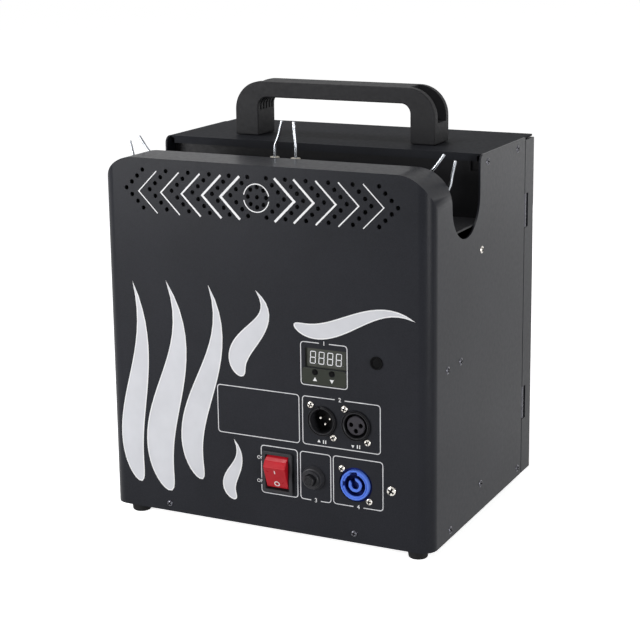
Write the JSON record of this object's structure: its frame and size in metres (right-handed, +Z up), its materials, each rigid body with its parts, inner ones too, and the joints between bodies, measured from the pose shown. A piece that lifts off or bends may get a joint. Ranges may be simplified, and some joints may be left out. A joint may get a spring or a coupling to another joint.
{
  "type": "stage flame machine",
  "caption": "Black sheet-steel stage flame machine: carrying handle, flame trough with leaning and upright spark heads, rear fuel door, front controls and connectors.",
  "frame": {"origin": "centre of the box's footprint, on the surface that the feet stand on", "axes": "+Z up, +X to the right seen from the front, +Y from the front panel to the rear door"},
  "size_m": [0.283, 0.2428, 0.3436],
  "materials": {
    "powder_coat": "satin charcoal-black powder coat",
    "zinc_steel": "zinc-plated sheet",
    "moulded_black": "matte moulded black",
    "foot_rubber": "matte",
    "nozzle_brass": "turned",
    "ceramic": "unglazed white ceramic",
    "stainless": "bright stainless",
    "plain_aluminium": "milled",
    "gloss_black": "semi-gloss",
    "can_silver": "bare drawn can",
    "board_green": "solder mask",
    "rocker_red": "semi-gloss",
    "inlet_blue": "satin"
  },
  "bodies": {
    "chassis": {"cover_shell": "powder_coat", "base_plate": "zinc_steel", "flame_trough": "powder_coat", "bulkhead": "zinc_steel", "rear_lid": "powder_coat", "carry_handle": "moulded_black", "foot_front_left": "foot_rubber", "foot_front_right": "foot_rubber", "foot_rear_left": "foot_rubber", "foot_rear_right": "foot_rubber", "nozzle_left": "nozzle_brass", "nozzle_centre": "nozzle_brass", "nozzle_right": "nozzle_brass", "electrode_holder_left": "ceramic", "electrode_holder_centre": "ceramic", "electrode_holder_right": "ceramic", "electrode_left_a": "stainless", "electrode_left_b": "stainless", "electrode_centre_a": "stainless", "electrode_centre_b": "stainless", "electrode_right_a": "stainless", "electrode_right_b": "stainless", "gas_tube_left": "nozzle_brass", "gas_tube_centre": "nozzle_brass", "gas_tube_right": "nozzle_brass", "gas_manifold": "plain_aluminium", "solenoid_left": "gloss_black", "solenoid_centre": "gloss_black", "solenoid_right": "gloss_black", "fuel_can": "can_silver", "can_cradle": "moulded_black", "can_clip": "stainless", "ignition_coil_left": "gloss_black", "ignition_coil_centre": "gloss_black", "ignition_coil_right": "gloss_black", "power_supply": "plain_aluminium", "control_board": "board_green", "display_module": "gloss_black", "rocker_housing": "gloss_black", "breaker_body": "moulded_black", "signal_input": "gloss_black", "signal_output": "gloss_black", "power_inlet": "inlet_blue", "hole_plug": "foot_rubber", "upper_hinge_cover_leaf": "stainless", "upper_hinge_pin": "stainless", "lower_hinge_cover_leaf": "stainless", "lower_hinge_pin": "stainless", "latch_catch": "zinc_steel"},
    "door": {"rear_door": "powder_coat", "upper_hinge_door_leaf": "stainless", "lower_hinge_door_leaf": "stainless"},
    "latch": {"door_latch": "moulded_black"},
    "rocker": {"power_rocker": "rocker_red"},
    "reset": {"reset_button": "gloss_black"},
    "up": {"up_button": "moulded_black"},
    "down": {"down_button": "moulded_black"},
    "plunger_left": {"valve_plunger_left": "stainless"},
    "plunger_centre": {"valve_plunger_centre": "stainless"},
    "plunger_right": {"valve_plunger_right": "stainless"}
  },
  "joints": [
    {"name": "rear_door_hinge", "type": "hinge", "parent": "chassis", "child": "door", "pos_m": [0.1371, 0.0927, 0.15], "axis": [0, 0, -1], "range_deg": [0, 100]},
    {"name": "door_latch_turn", "type": "hinge", "parent": "door", "child": "latch", "pos_m": [-0.118, 0.11, 0.1518], "axis": [0, 1, 0], "range_deg": [0, 90]},
    {"name": "power_rocker_tilt", "type": "hinge", "parent": "chassis", "child": "rocker", "pos_m": [0.012, -0.1111, 0.0561], "axis": [-1, 0, 0], "range_deg": [0, 24]},
    {"name": "breaker_reset_slide", "type": "slide", "parent": "chassis", "child": "reset", "axis": [0, -1, 0], "range_m": [0, 0.003]},
    {"name": "up_button_slide", "type": "slide", "parent": "chassis", "child": "up", "axis": [0, 1, 0], "range_m": [0, 0.0006], "stiffness_N_per_m": 400, "springref_m": -0.0005},
    {"name": "down_button_slide", "type": "slide", "parent": "chassis", "child": "down", "axis": [0, 1, 0], "range_m": [0, 0.0006], "stiffness_N_per_m": 400, "springref_m": -0.0005},
    {"name": "valve_left_slide", "type": "slide", "parent": "chassis", "child": "plunger_left", "axis": [0, 0, 1], "range_m": [0, 0.002], "stiffness_N_per_m": 300, "springref_m": -0.002},
    {"name": "valve_centre_slide", "type": "slide", "parent": "chassis", "child": "plunger_centre", "axis": [0, 0, 1], "range_m": [0, 0.002], "stiffness_N_per_m": 300, "springref_m": -0.002},
    {"name": "valve_right_slide", "type": "slide", "parent": "chassis", "child": "plunger_right", "axis": [0, 0, 1], "range_m": [0, 0.002], "stiffness_N_per_m": 300, "springref_m": -0.002}
  ]
}
